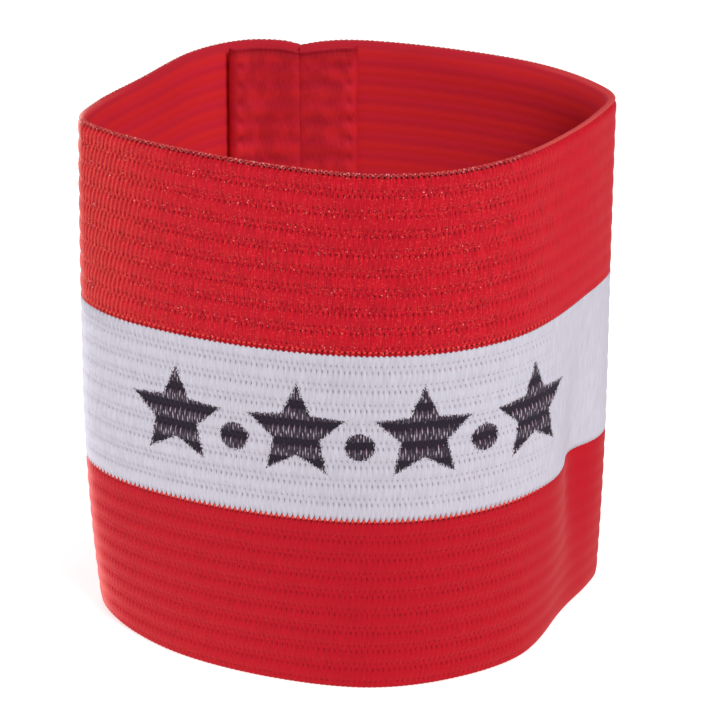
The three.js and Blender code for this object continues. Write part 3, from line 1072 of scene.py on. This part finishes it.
def paint_white():
    """The white knit of the middle stripe, with its print."""
    knit = KnitMaterial("white_knit")
    streaks = knit.patches(3.1, 0.8, 2.0)
    colour = knit.mix(knit.fade(streaks, 0.62, 0.38), WHITE, SHADED_WHITE)
    # Painted shade in the little holes.
    colour = knit.mix(knit.holes(), colour, HOLE_SHADE_GREY)

    ragged = knit.line(knit.patches(4.6, 9), RAGGEDNESS, -RAGGEDNESS / 2)
    printed = knit.fade(knit.maths("ADD", outside_motif(knit), ragged), *INK_EDGE)
    uneven = knit.line(knit.random(2, 1, 0.5), 0.14, -0.07)
    shifted = knit.maths("ADD", knit.ribs, uneven)
    open_slits = []
    for slit in SLITS:
        beside = knit.maths("DIVIDE", knit.off(knit.stitches, slit["stitch"]), SLIT_HALF_WIDTH)
        above = knit.maths("DIVIDE", knit.off(shifted, slit["rib"]), slit["half_height"])
        open_slits.append(knit.fade(knit.reach(beside, above), 0.6, 1.15))
    bare = knit.both(knit.either(*open_slits), knit.fade(knit.random(2, 5, 0.5), 0.1, 1.0))
    top = knit.spot(0.55, 0.2, 0.2, 0.07)
    yarn = knit.mix(knit.both(top, 0.5), SLIT, SLIT_PINK)
    on_rib = knit.fade(knit.in_channel, 0.2, 0.8)
    worn = knit.both(knit.fade(knit.patches(6.5, 1.6, 2.0), 0.62, 0.45), on_rib, 0.6)
    ink = knit.mix(worn, INK, WORN_INK)
    colour = knit.mix(knit.both(printed, knit.textured), colour, knit.mix(bare, ink, yarn))
    knit.bump(streaks, 0.3, 0.04 * MM)
    return knit.finish(colour, 0.85, 0.1, 0.1, (1, 1, 1, 1))


white_knit = paint_white()
white_cloth.data.materials.append(white_knit)
print("the white knit has", len(white_knit.node_tree.nodes), "nodes")

# %% [markdown]
# ## Floor and light
# The photograph is a cut-out on plain white. A pale floor under a soft white sky comes close: the
# floor glows a little, turns nearly white and throws its light back on the cloth. It glows more
# behind the band on the left, where the band would leave a grey shadow. The main lamp stands at the
# front right, so the inner wall on the left is the bright one. Two weak lamps stand low down at the
# left and behind: they light the outside of the cloth and not its inside.

# %% Floor and light
FLOOR_REACH = 6
FLOOR_GLOW = 0.34
SHADE_GLOW = 0.28
SHADE_MIDDLE = (-0.06, 0.08, 0)
SHADE_REACH = (0.05, 0.2)
floor_grid = bmesh.new()
bmesh.ops.create_grid(floor_grid, x_segments=1, y_segments=1, size=FLOOR_REACH)
floor_mesh = bpy.data.meshes.new("floor")
floor_grid.to_mesh(floor_mesh)
floor_grid.free()
floor = bpy.data.objects.new("floor", floor_mesh)
bpy.context.scene.collection.objects.link(floor)
floor_paint = Paint("floor_paint")
floor_place = floor_paint.step("TexCoord", {}).outputs["Object"]
from_shade = floor_paint.step("VectorMath", {0: floor_place, 1: SHADE_MIDDLE}, operation="DISTANCE")
glow = (FLOOR_GLOW + SHADE_GLOW, FLOOR_GLOW)
matt = {
    "Base Color": (0.8, 0.8, 0.8, 1),
    "Roughness": 0.9,
    "Specular IOR Level": 0,
    "Emission Color": (1, 1, 1, 1),
    "Emission Strength": floor_paint.fade(from_shade.outputs["Value"], *SHADE_REACH, *glow),
}
floor_paint.feed(floor_paint.shader, matt)
floor_mesh.materials.append(floor_paint.material)

SKY_STRENGTH = 0.23
sky = bpy.data.worlds.new("sky")
sky.use_nodes = True
sky.node_tree.nodes["Background"].inputs["Color"].default_value = (1, 1, 1, 1)
sky.node_tree.nodes["Background"].inputs["Strength"].default_value = SKY_STRENGTH
bpy.context.scene.world = sky
bpy.context.scene.view_settings.view_transform = "Standard"

LAMPS = [
    {"name": "key_lamp", "place": (0.74, -1.13, 1.15), "size": 0.6, "power": 21.6},
    {"name": "side_lamp", "place": (-1.35, 0.1, 0.12), "size": 0.2, "power": 10.5},
    {"name": "back_lamp", "place": (-1.0, 1.2, 0.1), "size": 0.15, "power": 16},
    {"name": "top_lamp", "place": (0.1, -0.1, 1.6), "size": 1.4, "power": 7.5},
]
AIM = Vector((0, 0, BAND_HEIGHT / 2))
for lamp in LAMPS:
    light = bpy.data.lights.new(lamp["name"], "AREA")
    light.size = lamp["size"]
    light.energy = lamp["power"]
    holder = bpy.data.objects.new(lamp["name"], light)
    holder.location = lamp["place"]
    holder.rotation_euler = (Vector(lamp["place"]) - AIM).to_track_quat("Z", "Y").to_euler()
    bpy.context.scene.collection.objects.link(holder)
print(len(LAMPS), "lamps and a pale floor")
